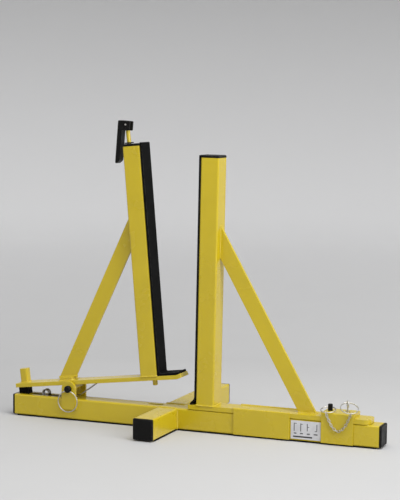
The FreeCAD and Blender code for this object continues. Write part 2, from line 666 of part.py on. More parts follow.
def jaw_pad():
    """The rubber facing of the sliding jaw, whose toe curls away from the mast and down to its foot."""
    lean = "(jaw_lean * 1deg)"
    top = "(jaw_tall + cap_flange)"
    foot = "jaw_left"
    low = f"({FOOT_TOP} + toe_lift)"
    curl = f"{low} + toe_high + jaw_pad * tan(toe_slope * 1deg / 2)"
    points = [
        (f"{foot} + (toe_lift + toe_high) * tan{lean}", f"{low} + toe_high"),
        (f"{foot} + {top} * sin{lean}", f"{FOOT_TOP} + {top} * cos{lean}"),
        (f"{foot} + {top} * sin{lean} - jaw_pad * cos{lean}",
         f"{FOOT_TOP} + {top} * cos{lean} + jaw_pad * sin{lean}"),
        (f"{foot} - jaw_pad / cos{lean} + toe_high * tan{lean}", curl),
        (f"{foot} - toe_long", f"{curl} - (toe_long - jaw_pad) * tan(toe_slope * 1deg)"),
        (f"{foot} - toe_long", low),
        (f"{foot} - toe_high / tan(toe_slope * 1deg)", low),
    ]
    roundings = [(0, "3 * jaw_pad"), (2, "jaw_pad / 2"), (3, "2 * jaw_pad"), (4, "jaw_pad / 5")]
    part(outline(points, "jaw_deep", "jaw_pad", roundings), "jaw_pad")


def lock_pin():
    """The drop-in pin that ties the jaw to the rail's slot, its grip and its wire ring."""
    shank = rod("lock_radius", f"{SADDLE_TOP} - {RAIL_TOP} + lock_reach", "lock_place", "0",
                f"{RAIL_TOP} - lock_reach")
    end = level_ring(f"{RAIL_TOP} - lock_reach", "z")
    part(rounded(shank, "lock_radius / 3", end, chamfer=True), "lock_pin")
    grip = rod("lock_head_radius", "lock_head_tall", "lock_place", "0", SADDLE_TOP)
    top = level_ring(f"{SADDLE_TOP} + lock_head_tall", "z")
    grip = rounded(grip, "lock_radius / 4", top, chamfer=True)
    hole = rod("lock_ring_hole", "3 * lock_head_radius", "lock_place - 1.5 * lock_head_radius", "0",
               LOCK_RING_Z, "x")
    part(cut(grip, hole), "lock_pin_grip")
    tilt = "(lock_ring_tilt * 1deg)"
    ring = torus(LOCK_RING, "lock_ring_wire", "lock_place",
                 f"-{LOCK_RING} * cos{tilt}", f"{LOCK_RING_Z} - {LOCK_RING} * sin{tilt}",
                 (V(1, 0, 0), "lock_ring_tilt"))
    part(ring, "lock_pin_ring")


def split_ring_ends():
    """Where the split ring passes through the eye, and where the chain hangs from it."""
    start = V(value("eye_place"), 0, value(f"{EYE_Z} + eye_radius - 2 * eye_wire"))
    end = V(value("split_place"), value(CHAIN_Y), value(f"{SADDLE_TOP} + split_rise"))
    return start, end


def screw_eye():
    """The eye in the saddle that holds the chain's split ring, turned to face along the ring."""
    start, end = split_ring_ends()
    chord = end - start
    turn = (V(chord.x, chord.y, 0), "90")
    eye = torus("eye_radius", "eye_wire", "eye_place", "0", EYE_Z, turn)
    seat = f"({SADDLE_TOP} - saddle_thick + eye_floor)"
    shank = rod("eye_wire", f"{EYE_Z} - eye_radius - {seat}", "eye_place", "0", seat)
    collar = rod("eye_collar", "eye_collar_tall", "eye_place", "0", SADDLE_TOP)
    part(fuse(eye, shank, collar), "screw_eye")


def split_ring():
    """The ring that joins the chain to the screw eye."""
    start, end = split_ring_ends()
    chord = end - start
    level = V(-chord.y, chord.x, 0)
    middle = (start + end) * 0.5
    item = doc.addObject("Part::Feature", "split_ring")
    item.Shape = Part.makeTorus(chord.Length / 2, value("split_wire"), middle, chord.cross(level))
    part(item, "split_ring")


def chain_link(middle, direction, turn):
    """One oval link of round wire, its long side along the chain."""
    wire = value("chain_wire")
    wide = value("chain_slot") / 2 + wire
    straight = value("chain_inner") / 2 + wire - wide
    side = direction.cross(V(0, 1, 0)).normalize()
    up = side.cross(direction)
    across = side * math.cos(turn) + up * math.sin(turn)
    normal = direction.cross(across)
    solids = []
    for sign in (-1, 1):
        foot = middle + across * sign * wide - direction * straight
        solids.append(Part.makeCylinder(wire, 2 * straight, foot, direction))
        centre = middle + direction * sign * straight
        bend = Part.makeTorus(wide, wire, centre, normal)
        outer_half = Part.makeCylinder(2 * wide, 2 * wide, centre, direction * sign)
        solids.append(bend.common(outer_half))
    return solids[0].multiFuse(solids[1:])


def pin_chain():
    """Links spaced along the curve of a slack chain between the pin's ring and the split ring."""
    lap = value("chain_lap")
    dip = value(f"2 * {LOCK_RING} * sin(lock_ring_tilt * 1deg)")
    start = V(value("lock_place") - lap, value(CHAIN_Y), value(LOCK_RING_Z) - dip + lap)
    end = split_ring_ends()[1] + V(value("chain_shift"), 0, value("chain_rise"))
    count = int(value("chain_links"))
    sag = value("chain_sag")
    fine = 20 * count
    trail = []
    for i in range(fine + 1):
        share = i / fine
        trail.append(start + (end - start) * share - V(0, 0, 4 * sag * share * (1 - share)))
    runs = [(two - one).Length for one, two in zip(trail, trail[1:])]
    pitch = sum(runs) / count
    links = []
    passed = 0.0
    for one, two, run in zip(trail, trail[1:], runs):
        if passed + run / 2 >= pitch * (len(links) + 0.5):
            turn = 0 if len(links) % 2 else math.pi / 2
            links.append(chain_link((one + two) * 0.5, (two - one).normalize(), turn))
        passed += run
    item = doc.addObject("Part::Feature", "pin_chain")
    item.Shape = Part.makeCompound(links)
    part(item, "pin_chain")


SUB_PARTS = [
    main_rail, cross_arms, base_caps, grip_strips, pivot_ears, return_spring, label,
    rocker_plate, pivot_boss, rocker_mast, rocker_brace, pedal, bumper, rocker_pad,
    lock_rod, lock_lever, pivot_pin, jaw_foot, jaw_mast, jaw_pad, lock_pin, screw_eye, split_ring,
    pin_chain,
]
for make in SUB_PARTS:
    make()
doc.recompute()
for item in doc.Objects:
    if "Invalid" in item.State or "Error" in item.State:
        raise RuntimeError(f"{item.Label} did not recompute: {item.State}")
for item in parts:
    if item.Shape.isNull() or not item.Shape.isValid():
        raise RuntimeError(f"{item.Label} has no valid shape")
os.makedirs("parts", exist_ok=True)
for item in parts:
    item.Shape.exportStep(f"parts/{item.Label}.step")
print(len(parts), "sub-parts")
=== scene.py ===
"""Looks of a self-clamping upright stand, built around its CAD frame.

The stand is a yellow tube frame with two padded uprights. Lengths are in metres.
Each operator makes one piece or one group of like pieces.
"""

import functools
import json
import math

import bmesh
import bpy
from bpy.props import FloatProperty, FloatVectorProperty, PointerProperty
from mathutils import Matrix, Vector
from mathutils.geometry import convex_hull_2d


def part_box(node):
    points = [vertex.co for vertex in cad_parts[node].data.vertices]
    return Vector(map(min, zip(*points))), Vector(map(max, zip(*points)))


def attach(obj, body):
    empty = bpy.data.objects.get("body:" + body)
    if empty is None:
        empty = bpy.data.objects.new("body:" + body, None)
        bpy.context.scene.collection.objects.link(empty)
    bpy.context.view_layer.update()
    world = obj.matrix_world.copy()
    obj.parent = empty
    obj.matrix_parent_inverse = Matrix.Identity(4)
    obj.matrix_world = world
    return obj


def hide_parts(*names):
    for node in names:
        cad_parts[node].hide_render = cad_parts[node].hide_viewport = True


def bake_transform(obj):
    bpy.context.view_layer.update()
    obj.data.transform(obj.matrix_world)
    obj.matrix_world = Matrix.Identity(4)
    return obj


bl_info = {
    "name": "Clamping stand",
    "version": (1, 0, 0),
    "blender": (4, 5, 0),
    "location": "3D View > Sidebar > Stand",
    "description": "Builds the looks of a self-clamping upright stand around its packed frame",
    "category": "Object",
}

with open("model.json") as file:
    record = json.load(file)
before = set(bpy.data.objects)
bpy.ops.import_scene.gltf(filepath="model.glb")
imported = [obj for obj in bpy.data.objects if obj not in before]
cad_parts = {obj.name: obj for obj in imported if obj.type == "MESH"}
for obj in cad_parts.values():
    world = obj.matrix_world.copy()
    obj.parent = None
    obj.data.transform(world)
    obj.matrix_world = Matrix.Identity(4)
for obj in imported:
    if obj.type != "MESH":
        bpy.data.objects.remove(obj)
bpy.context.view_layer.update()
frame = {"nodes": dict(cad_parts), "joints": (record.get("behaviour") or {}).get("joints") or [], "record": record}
JOINTS = {joint["name"]: joint for joint in frame["joints"]}
BODY_OF = {
    node: body for body, nodes in frame["record"]["behaviour"]["bodies"].items() for node in nodes
}
ROCKER_UP = -Vector(JOINTS["rod_drop"]["axis"])

# Angles that the frame's meshes have but its record does not state.
MAST_LEAN = math.radians(2)
JAW_LEAN = math.radians(0.75)
LOCK_RING_TILT = math.radians(13)

MERGE_DISTANCE = 2e-6
FLAT_ANGLE = math.radians(0.3)
SHARP_EDGE = math.radians(28)
SHARP_SHADING = math.radians(38)
PLANE_REACH = 0.00008

# Rounding of the small parts, by how they are made.
TURNED_EDGE = 0.0005
PIN_EDGE = 0.0004
THIN_EDGE = 0.0003
GRIP_EDGE = 0.0010
HEAD_EDGE = 0.0012
GUIDE_EDGE = 0.0006
LEVER_EDGE = 0.0014
BUMPER_EDGE = 0.0014
LABEL_EDGE = 0.00008

CAP_RIM = 0.0045
CAP_STEP = 0.0012
CAP_SINK = 0.0008

# The Mix node's sockets share their names, so its colour sockets are found by number.
MIX_MASK, MIX_FIRST, MIX_SECOND, MIX_RESULT = 0, 6, 7, 2


# ---------------------------------------------------------------- settings

class StandPaint(bpy.types.PropertyGroup):
    """Colours and finish of the stand."""
    enamel: FloatVectorProperty(
        name="Enamel", description="Colour of the painted steel",
        subtype="COLOR", size=3, min=0, max=1, default=(0.55, 0.415, 0.009))
    primer: FloatVectorProperty(
        name="Chipped edge", description="What shows where the enamel is worn off an edge",
        subtype="COLOR", size=3, min=0, max=1, default=(0.19, 0.15, 0.075))
    plastic: FloatVectorProperty(
        name="Caps and lever", description="Colour of the black mouldings",
        subtype="COLOR", size=3, min=0, max=1, default=(0.005, 0.005, 0.0045))
    rubber: FloatVectorProperty(
        name="Pads", description="Colour of the rubber facings",
        subtype="COLOR", size=3, min=0, max=1, default=(0.005, 0.005, 0.005))
    zinc: FloatVectorProperty(
        name="Zinc plate", description="Colour of the pins, rings and chain",
        subtype="COLOR", size=3, min=0, max=1, default=(0.60, 0.585, 0.54))
    wear: FloatProperty(
        name="Edge wear", description="How much of each edge has lost its enamel",
        subtype="FACTOR", min=0, max=1, default=0.12)


class StandSizes(bpy.types.PropertyGroup):
    """Sizes of the details that the frame does not hold."""
    tube_edge: FloatProperty(
        name="Cut edge", description="Rounding of the cut edges of tube and bar",
        unit="LENGTH", default=0.0006)
    cap_edge: FloatProperty(
        name="Cap edge", description="Rounding of the moulded caps",
        unit="LENGTH", default=0.0012)
    pad_edge: FloatProperty(
        name="Pad edge", description="Rounding of the rubber facings",
        unit="LENGTH", default=0.0011)
    bead: FloatProperty(
        name="Weld bead", description="Radius of a weld bead",
        unit="LENGTH", default=0.0021)
    bead_step: FloatProperty(
        name="Weld ripple", description="Distance from one ripple of a bead to the next",
        unit="LENGTH", default=0.0013)
    link_length: FloatProperty(
        name="Link opening", description="Inner length of a chain link",
        unit="LENGTH", default=0.0066)
    link_width: FloatProperty(
        name="Link slot", description="Inner width of a chain link",
        unit="LENGTH", default=0.0031)
    link_wire: FloatProperty(
        name="Link wire", description="Wire radius of the chain",
        unit="LENGTH", default=0.0008)


class StageSettings(bpy.types.PropertyGroup):
    """Camera, floor and lamps."""
    camera_place: FloatVectorProperty(
        name="Camera", description="Where the camera stands",
        subtype="TRANSLATION", size=3, default=(1.4207, -3.3639, 0.7875))
    camera_yaw: FloatProperty(
        name="Yaw", description="Camera heading, anticlockwise from +Y",
        subtype="ANGLE", default=0.382)
    camera_dip: FloatProperty(
        name="Dip", description="How far the camera looks below level",
        subtype="ANGLE", default=0.098)
    camera_roll: FloatProperty(
        name="Roll", description="Turn of the camera about its own axis",
        subtype="ANGLE", default=0.009)
    lens: FloatProperty(name="Lens", description="Focal length in millimetres", default=111.3)
    floor_colour: FloatVectorProperty(
        name="Floor", description="Colour of the paper floor",
        subtype="COLOR", size=3, min=0, max=1, default=(0.475, 0.475, 0.475))
    # Painted light and painted shade on one plain paper: the paper is painted lighter where the floor turns up and
    # darker high on the wall, in place of the lamps' falloff.
    wall_painted_light: FloatVectorProperty(
        name="Wall", description="Colour of the paper where the floor turns up",
        subtype="COLOR", size=3, min=0, max=1, default=(0.97, 0.97, 0.97))
    top_painted_shade: FloatVectorProperty(
        name="Wall top", description="Colour of the paper high on the wall",
        subtype="COLOR", size=3, min=0, max=1, default=(0.62, 0.62, 0.62))
    wall_fade: FloatProperty(
        name="Fade height", description="Height at which the paper has the colour of the wall top",
        unit="LENGTH", default=1.5)
    sky_colour: FloatVectorProperty(
        name="Room", description="Light from the room above the paper",
        subtype="COLOR", size=3, min=0, max=1, default=(0.50, 0.50, 0.505))


def settings():
    scene = bpy.context.scene
    return scene.stand_paint, scene.stand_sizes, scene.stand_stage


# ---------------------------------------------------------------- node helpers

def link(tree, source, target):
    tree.links.new(source, target)


def shader_math(tree, operation, first, second):
    node = tree.nodes.new("ShaderNodeMath")
    node.operation = operation
    for socket, value in zip(node.inputs, (first, second)):
        if isinstance(value, (int, float)):
            socket.default_value = value
        else:
            link(tree, value, socket)
    return node.outputs[0]


def new_group(name, inputs, outputs):
    """A shader node group with named sockets: inputs are (name, kind, default)."""
    group = bpy.data.node_groups.new(name, "ShaderNodeTree")
    for label, kind, default in inputs:
        socket = group.interface.new_socket(label, in_out="INPUT", socket_type=kind)
        socket.default_value = default
    for label, kind in outputs:
        group.interface.new_socket(label, in_out="OUTPUT", socket_type=kind)
    return group, group.nodes.new("NodeGroupInput"), group.nodes.new("NodeGroupOutput")


def object_noise(tree, scale, detail, roughness):
    """Noise in the object's own coordinates; scale is a number or a socket."""
    place = tree.nodes.new("ShaderNodeTexCoord")
    noise = tree.nodes.new("ShaderNodeTexNoise")
    noise.inputs["Detail"].default_value = detail
    noise.inputs["Roughness"].default_value = roughness
    link(tree, place.outputs["Object"], noise.inputs["Vector"])
    if isinstance(scale, (int, float)):
        noise.inputs["Scale"].default_value = scale
    else:
        link(tree, scale, noise.inputs["Scale"])
    return noise.outputs["Fac"]


def remap(tree, value, low, high, to_low=0.0, to_high=1.0):
    node = tree.nodes.new("ShaderNodeMapRange")
    link(tree, value, node.inputs["Value"])
    ends = {"From Min": low, "From Max": high, "To Min": to_low, "To Max": to_high}
    for label, number in ends.items():
        if isinstance(number, (int, float)):
            node.inputs[label].default_value = number
        else:
            link(tree, number, node.inputs[label])
    return node.outputs["Result"]


def mix_colour(tree, mask, first, second):
    node = tree.nodes.new("ShaderNodeMix")
    node.data_type = "RGBA"
    sockets = {MIX_MASK: mask, MIX_FIRST: first, MIX_SECOND: second}
    for index, value in sockets.items():
        if isinstance(value, (int, float)):
            node.inputs[index].default_value = value
        elif isinstance(value, bpy.types.NodeSocket):
            link(tree, value, node.inputs[index])
        else:
            node.inputs[index].default_value = (*value, 1.0)
    return node.outputs[MIX_RESULT]


def made_once(name):
    """Mark the maker of a node group, so that the group is made on first use and then shared."""
    def mark(make):
        @functools.wraps(make)
        def group():
            if name not in bpy.data.node_groups:
                make(name)
            return bpy.data.node_groups[name]
        return group
    return mark


@made_once("tone_variation")
def tone_group(name):
    """Slow change of tone over a surface, as in hand-sprayed paint or handled rubber."""
    group, entry, leave = new_group(
        name,
        [("Color", "NodeSocketColor", (0.8, 0.8, 0.8, 1)), ("Scale", "NodeSocketFloat", 9.0),
         ("Amount", "NodeSocketFloat", 0.1)],
        [("Color", "NodeSocketColor"), ("Mask", "NodeSocketFloat")],
    )
    noise = object_noise(group, entry.outputs["Scale"], 4.0, 0.6)
    mask = remap(group, noise, 0.35, 0.65)
    share = shader_math(group, "MULTIPLY", mask, entry.outputs["Amount"])
    darker = mix_colour(group, share, entry.outputs["Color"], (0.0, 0.0, 0.0))
    link(group, darker, leave.inputs["Color"])
    link(group, mask, leave.inputs["Mask"])


@made_once("edge_wear")
def wear_group(name):
    """Chips along the edges: the mesh marks its edge faces, and noise breaks the mark up."""
    group, entry, leave = new_group(
        name, [("Amount", "NodeSocketFloat", 0.3), ("Scale", "NodeSocketFloat", 60.0)],
        [("Mask", "NodeSocketFloat")],
    )
    mark = group.nodes.new("ShaderNodeAttribute")
    mark.attribute_name = "edge"
    coarse = object_noise(group, entry.outputs["Scale"], 5.0, 0.7)
    eaten = shader_math(group, "MULTIPLY", entry.outputs["Amount"], 0.3)
    limit = shader_math(group, "SUBTRACT", 0.72, eaten)
    chips = remap(group, coarse, limit, shader_math(group, "ADD", limit, 0.03))
    link(group, shader_math(group, "MULTIPLY", mark.outputs["Fac"], chips), leave.inputs["Mask"])


@made_once("settled_dust")
def dust_group(name):
    """Dust that has settled on faces that look up."""
    group, entry, leave = new_group(
        name, [("Amount", "NodeSocketFloat", 0.2)], [("Mask", "NodeSocketFloat")])
    geometry = group.nodes.new("ShaderNodeNewGeometry")
    parts = group.nodes.new("ShaderNodeSeparateXYZ")
    link(group, geometry.outputs["Normal"], parts.inputs[0])
    upward = remap(group, parts.outputs["Z"], 0.5, 1.0)
    speck = remap(group, object_noise(group, 130.0, 6.0, 0.7), 0.45, 0.75)
    settled = shader_math(group, "MULTIPLY", upward, speck)
    mask = shader_math(group, "MULTIPLY", settled, entry.outputs["Amount"])
    link(group, mask, leave.inputs["Mask"])


@made_once("fine_grain")
def grain_group(name):
    """A fine bumpy skin over slow waves; both heights are depths in metres."""
    group, entry, leave = new_group(
        name, [("Scale", "NodeSocketFloat", 700.0), ("Height", "NodeSocketFloat", 0.00003),
               ("Waves", "NodeSocketFloat", 14.0), ("Wave height", "NodeSocketFloat", 0.0001)],
        [("Normal", "NodeSocketVector")],
    )
    grain = object_noise(group, entry.outputs["Scale"], 2.0, 0.5)
    waves = object_noise(group, entry.outputs["Waves"], 1.0, 0.4)
    total = shader_math(
        group, "ADD", shader_math(group, "MULTIPLY", grain, entry.outputs["Height"]),
        shader_math(group, "MULTIPLY", waves, entry.outputs["Wave height"]))
    bump = group.nodes.new("ShaderNodeBump")
    bump.inputs["Distance"].default_value = 1.0
    bump.inputs["Strength"].default_value = 1.0
    link(group, total, bump.inputs["Height"])
    link(group, bump.outputs["Normal"], leave.inputs["Normal"])


def place_group(tree, group, **values):
    node = tree.nodes.new("ShaderNodeGroup")
    node.node_tree = group
    for label, value in values.items():
        socket = node.inputs[label.replace("_", " ")]
        if isinstance(value, bpy.types.NodeSocket):
            link(tree, value, socket)
        else:
            socket.default_value = value
    return node


def new_material(name):
    material = bpy.data.materials.new(name)
    material.use_nodes = True
    shader = material.node_tree.nodes["Principled BSDF"]
    return material, material.node_tree, shader


def add_skin(tree, shader, scale, height, waves, wave_height):
    """Give a shader the fine grain and slow waves of its surface."""
    grain = place_group(tree, grain_group(), Scale=scale, Height=height, Waves=waves,
                        Wave_height=wave_height)
    link(tree, grain.outputs["Normal"], shader.inputs["Normal"])


# ---------------------------------------------------------------- materials

def enamel(paint):
    """Glossy enamel over steel, slightly uneven, chipped to primer along the cut edges."""
    material, tree, shader = new_material("enamel")
    colour = (*paint.enamel, 1.0)
    tone = place_group(tree, tone_group(), Color=colour, Scale=7.0, Amount=0.07)
    worn = place_group(tree, wear_group(), Amount=paint.wear, Scale=75.0)
    dust = place_group(tree, dust_group(), Amount=0.10)
    dust_colour = (0.70, 0.62, 0.34)
    dusty = mix_colour(tree, dust.outputs["Mask"], tone.outputs["Color"], dust_colour)
    chipped = mix_colour(tree, worn.outputs["Mask"], dusty, tuple(paint.primer))
    link(tree, chipped, shader.inputs["Base Color"])
    streak = remap(tree, tone.outputs["Mask"], 0.0, 1.0, 0.20, 0.30)
    matt = shader_math(tree, "MULTIPLY", worn.outputs["Mask"], 0.35)
    rough = shader_math(tree, "ADD", streak, matt)
    link(tree, rough, shader.inputs["Roughness"])
    shader.inputs["Coat Weight"].default_value = 0.22
    shader.inputs["Coat Roughness"].default_value = 0.08
    add_skin(tree, shader, scale=520.0, height=0.000016, waves=16.0, wave_height=0.00003)
    return material


def black_moulding(paint):
    """Satin moulded plastic with a fine spark-eroded skin."""
    material, tree, shader = new_material("black_moulding")
    tone = place_group(tree, tone_group(), Color=(*paint.plastic, 1.0), Scale=40.0, Amount=0.25)
    worn = place_group(tree, wear_group(), Amount=0.55, Scale=160.0)
    dust = place_group(tree, dust_group(), Amount=0.08)
    scuff_colour, dust_colour = (0.030, 0.029, 0.028), (0.30, 0.28, 0.25)
    scuffed = mix_colour(tree, worn.outputs["Mask"], tone.outputs["Color"], scuff_colour)
    dusty = mix_colour(tree, dust.outputs["Mask"], scuffed, dust_colour)
    link(tree, dusty, shader.inputs["Base Color"])
    rough = remap(tree, tone.outputs["Mask"], 0.0, 1.0, 0.36, 0.50)
    link(tree, rough, shader.inputs["Roughness"])
    shader.inputs["Specular IOR Level"].default_value = 0.14
    add_skin(tree, shader, scale=1700.0, height=0.00004, waves=60.0, wave_height=0.00003)
    return material


def sheet_rubber(paint):
    """Matt black rubber with paler rubbed patches."""
    material, tree, shader = new_material("sheet_rubber")
    tone = place_group(tree, tone_group(), Color=(*paint.rubber, 1.0), Scale=22.0, Amount=0.3)
    worn = place_group(tree, wear_group(), Amount=0.8, Scale=120.0)
    rubbed = remap(tree, object_noise(tree, 34.0, 6.0, 0.75), 0.55, 0.8, 0.0, 0.5)
    rubbed_colour, edge_colour = (0.014, 0.0135, 0.013), (0.024, 0.0235, 0.022)
    pale = mix_colour(tree, rubbed, tone.outputs["Color"], rubbed_colour)
    edge = mix_colour(tree, worn.outputs["Mask"], pale, edge_colour)
    link(tree, edge, shader.inputs["Base Color"])
    link(tree, remap(tree, rubbed, 0.0, 0.5, 0.62, 0.85), shader.inputs["Roughness"])
    shader.inputs["Specular IOR Level"].default_value = 0.04
    add_skin(tree, shader, scale=1100.0, height=0.0001, waves=90.0, wave_height=0.00008)
    return material


def bare_metal(name, colour, roughness):
    """Bare or plated metal, spotted with a little stain."""
    material, tree, shader = new_material(name)
    scale, stain_colour, stained = 220.0, (0.20, 0.15, 0.09), 0.35
    tone = place_group(tree, tone_group(), Color=(*colour, 1.0), Scale=scale, Amount=0.22)
    spots = remap(tree, object_noise(tree, scale * 1.7, 6.0, 0.7), 0.56, 0.74, 0.0, stained)
    stained_metal = mix_colour(tree, spots, tone.outputs["Color"], stain_colour)
    link(tree, stained_metal, shader.inputs["Base Color"])
    shader.inputs["Metallic"].default_value = 1.0
    drawn = remap(tree, tone.outputs["Mask"], 0, 1, roughness, roughness + 0.12)
    rough = shader_math(tree, "ADD", drawn, shader_math(tree, "MULTIPLY", spots, 0.4))
    link(tree, rough, shader.inputs["Roughness"])
    add_skin(tree, shader, scale=2400.0, height=0.000012, waves=300.0, wave_height=0.00001)
    return material


def printed_sheet(name, colour, roughness):
    """The label's film or its ink."""
    material, tree, shader = new_material(name)
    tone = place_group(tree, tone_group(), Color=(*colour, 1.0), Scale=60.0, Amount=0.12)
    link(tree, tone.outputs["Color"], shader.inputs["Base Color"])
    rough = remap(tree, tone.outputs["Mask"], 0, 1, roughness, roughness + 0.15)
    link(tree, rough, shader.inputs["Roughness"])
    add_skin(tree, shader, scale=500.0, height=0.00001, waves=70.0, wave_height=0.00006)
    return material


def finish(name):
    """The material of that name, made the first time it is asked for."""
    if name in bpy.data.materials:
        return bpy.data.materials[name]
    paint = settings()[0]
    makers = {
        "enamel": lambda: enamel(paint),
        "black_moulding": lambda: black_moulding(paint),
        "sheet_rubber": lambda: sheet_rubber(paint),
        "zinc": lambda: bare_metal("zinc", tuple(paint.zinc), 0.26),
        "spring_steel": lambda: bare_metal("spring_steel", (0.42, 0.41, 0.39), 0.32),
        "bronze": lambda: bare_metal("bronze", (0.52, 0.34, 0.15), 0.4),
        "label_film": lambda: printed_sheet("label_film", (0.62, 0.62, 0.64), 0.28),
        "label_ink": lambda: printed_sheet("label_ink", (0.035, 0.035, 0.04), 0.4),
    }
    return makers[name]()


# ---------------------------------------------------------------- mesh helpers

def add_piece(name, mesh, finish_name):
    """Link a finished mesh under a name, with its material."""
    piece = bpy.data.objects.new(name, mesh)
    bpy.context.scene.collection.objects.link(piece)
    mesh.materials.append(finish(finish_name))
    return piece


def plain_mesh(piece):
    """Replace a piece's live modifiers by their result."""
    bpy.context.view_layer.update()
    graph = bpy.context.evaluated_depsgraph_get()
    mesh = bpy.data.meshes.new_from_object(
        piece.evaluated_get(graph), preserve_all_data_layers=True, depsgraph=graph)
    piece.modifiers.clear()
    old = piece.data
    piece.data = mesh
    mesh.name = piece.name
    bpy.data.meshes.remove(old)
    return piece


def soften(bm, width, segments):
    """Round every sharp edge and mark the new faces as edge faces."""
    mark = bm.faces.layers.float.new("edge")
    edges = [
        edge for edge in bm.edges
        if len(edge.link_faces) == 2 and edge.calc_face_angle(0.0) > SHARP_EDGE
    ]
    made = bmesh.ops.bevel(
        bm, geom=edges, offset=width, offset_type="OFFSET", segments=segments, profile=0.5,
        affect="EDGES", clamp_overlap=True, loop_slide=True, miter_outer="ARC",
    )
    for face in made["faces"]:
        face[mark] = 1.0


def smooth_mesh(bm, name):
    """Turn an edit mesh into a smooth-shaded mesh."""
    mesh = bpy.data.meshes.new(name)
    bm.to_mesh(mesh)
    bm.free()
    for polygon in mesh.polygons:
        polygon.use_smooth = True
    return mesh


def mesh_from(bm, name):
    """A smooth-shaded mesh that keeps its hard corners sharp."""
    mesh = smooth_mesh(bm, name)
    mesh.set_sharp_from_angle(angle=SHARP_SHADING)
    return mesh


def weighted(piece):
    """Let the large flat faces set the shading of the edges beside them."""
    modifier = piece.modifiers.new("weighted", "WEIGHTED_NORMAL")
    modifier.mode = "FACE_AREA"
    modifier.weight = 60
    modifier.keep_sharp = True
    return plain_mesh(piece)


def merged_copy(node):
    """An edit mesh of a CAD node, with the corners that its triangles share made one."""
    bm = bmesh.new()
    bm.from_mesh(frame["nodes"][node].data)
    bmesh.ops.remove_doubles(bm, verts=bm.verts, dist=MERGE_DISTANCE)
    return bm


def refined(node, finish_name, width, segments, change=None):
    """A clean copy of a CAD node with rounded edges, which stands for the node."""
    bm = merged_copy(node)
    bmesh.ops.dissolve_limit(bm, angle_limit=FLAT_ANGLE, verts=bm.verts, edges=bm.edges)
    soften(bm, width, segments)
    if change:
        change(bm)
    piece = weighted(add_piece(node + "_look", mesh_from(bm, node + "_look"), finish_name))
    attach(piece, BODY_OF[node])
    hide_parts(node)
    return piece


def corners_of(node):
    """The corners of a CAD node's mesh."""
    return [vertex.co.copy() for vertex in frame["nodes"][node].data.vertices]


def middle_of(points):
    return sum(points, Vector()) / len(points)


def outline_of(node, origin, normal):
    """The closed outline of where a CAD node meets a plane."""
    normal = normal.normalized()
    side = normal.orthogonal().normalized()
    other = normal.cross(side)
    points = [p for p in corners_of(node) if abs((p - origin).dot(normal)) < PLANE_REACH]
    flat = [((p - origin).dot(side), (p - origin).dot(other)) for p in points]
    return [points[i] for i in convex_hull_2d(flat)]


def path_mesh(name, paths):
    """Loose edges along paths; each path is (points, closed)."""
    vertices = []
    edges = []
    for points, closed in paths:
        first = len(vertices)
        vertices.extend(points)
        edges.extend((first + i, first + i + 1) for i in range(len(points) - 1))
        if closed:
            edges.append((len(vertices) - 1, first))
    mesh = bpy.data.meshes.new(name)
    mesh.from_pydata([tuple(p) for p in vertices], edges, [])
    return mesh


# ---------------------------------------------------------------- geometry nodes

def new_tree(name, inputs):
    tree = bpy.data.node_groups.new(name, "GeometryNodeTree")
    tree.interface.new_socket("Geometry", in_out="INPUT", socket_type="NodeSocketGeometry")
    for label, kind, default in inputs:
        socket = tree.interface.new_socket(label, in_out="INPUT", socket_type=kind)
        if default is not None:
            socket.default_value = default
    tree.interface.new_socket("Geometry", in_out="OUTPUT", socket_type="NodeSocketGeometry")
    return tree, tree.nodes.new("NodeGroupInput"), tree.nodes.new("NodeGroupOutput")


def close_tree(tree, geometry, entry, leave):
    """Every tree ends in smooth shading, real geometry and its material."""
    smooth = tree.nodes.new("GeometryNodeSetShadeSmooth")
    real = tree.nodes.new("GeometryNodeRealizeInstances")
    dress = tree.nodes.new("GeometryNodeSetMaterial")
    link(tree, geometry, real.inputs["Geometry"])
    link(tree, real.outputs["Geometry"], smooth.inputs["Geometry"])
    link(tree, smooth.outputs["Geometry"], dress.inputs["Geometry"])
    link(tree, entry.outputs["Material"], dress.inputs["Material"])
    link(tree, dress.outputs["Geometry"], leave.inputs["Geometry"])


@made_once("round_wire")
def wire_tree(name):
    """Round wire along the edges of a mesh."""
    tree, entry, leave = new_tree(name, [
        ("Radius", "NodeSocketFloat", 0.001), ("Sides", "NodeSocketInt", 16),
        ("Material", "NodeSocketMaterial", None)])
    curve = tree.nodes.new("GeometryNodeMeshToCurve")
    ring = tree.nodes.new("GeometryNodeCurvePrimitiveCircle")
    sweep = tree.nodes.new("GeometryNodeCurveToMesh")
    sweep.inputs["Fill Caps"].default_value = True
    link(tree, entry.outputs["Geometry"], curve.inputs["Mesh"])
    link(tree, curve.outputs["Curve"], sweep.inputs["Curve"])
    link(tree, entry.outputs["Sides"], ring.inputs["Resolution"])
    link(tree, entry.outputs["Radius"], ring.inputs["Radius"])
    link(tree, ring.outputs["Curve"], sweep.inputs["Profile Curve"])
    close_tree(tree, sweep.outputs["Mesh"], entry, leave)


